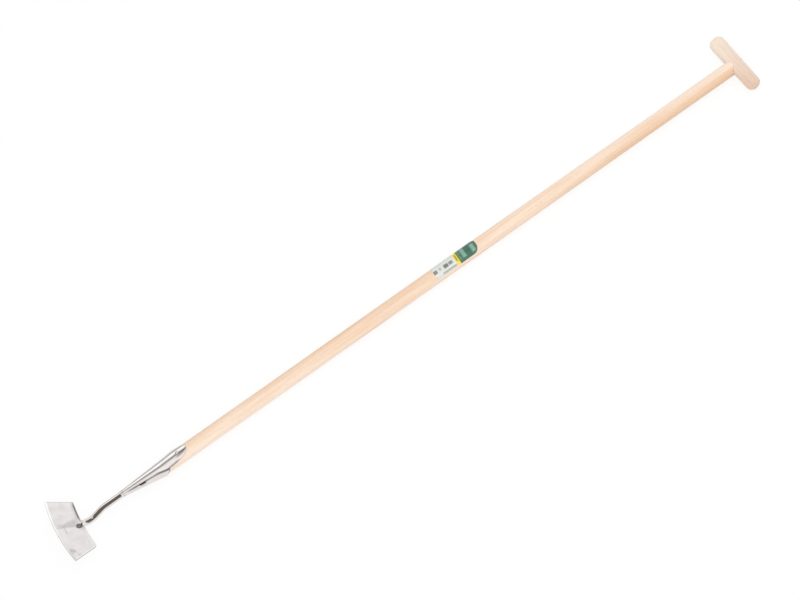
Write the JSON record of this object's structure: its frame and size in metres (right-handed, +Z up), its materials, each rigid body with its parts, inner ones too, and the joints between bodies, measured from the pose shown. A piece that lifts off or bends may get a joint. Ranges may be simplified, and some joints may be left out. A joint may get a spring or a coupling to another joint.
{
  "type": "dutch hoe",
  "caption": "Dutch hoe with a flat trapezoid push blade, a round steel neck, a rolled steel socket, a long tapered wooden shaft and a wooden T grip.",
  "frame": {"origin": "bottom centre of the bounding box, on the floor that the tool lies on", "axes": "+X from the blade to the grip along the shaft, +Y to the left of that along the grip, +Z up from the floor"},
  "size_m": [1.5288, 0.1392, 0.0477],
  "materials": {
    "blade_steel": "lightly brushed",
    "bright_steel": "polished",
    "dark_weld": "dark scale",
    "bright_weld": "ground",
    "socket_steel": "polished",
    "nail_metal": "dull",
    "ash": "sanded",
    "grip_ash": "sanded",
    "wedge_wood": "sawn",
    "paper": "glossy film"
  },
  "bodies": {
    "root": {"blade": "blade_steel", "neck": "bright_steel", "neck_weld_bead": "dark_weld", "socket_weld_bead": "bright_weld", "socket": "socket_steel", "socket_nail": "nail_metal", "shaft": "ash", "grip": "grip_ash", "grip_wedge": "wedge_wood", "label": "paper"}
  },
  "joints": []
}
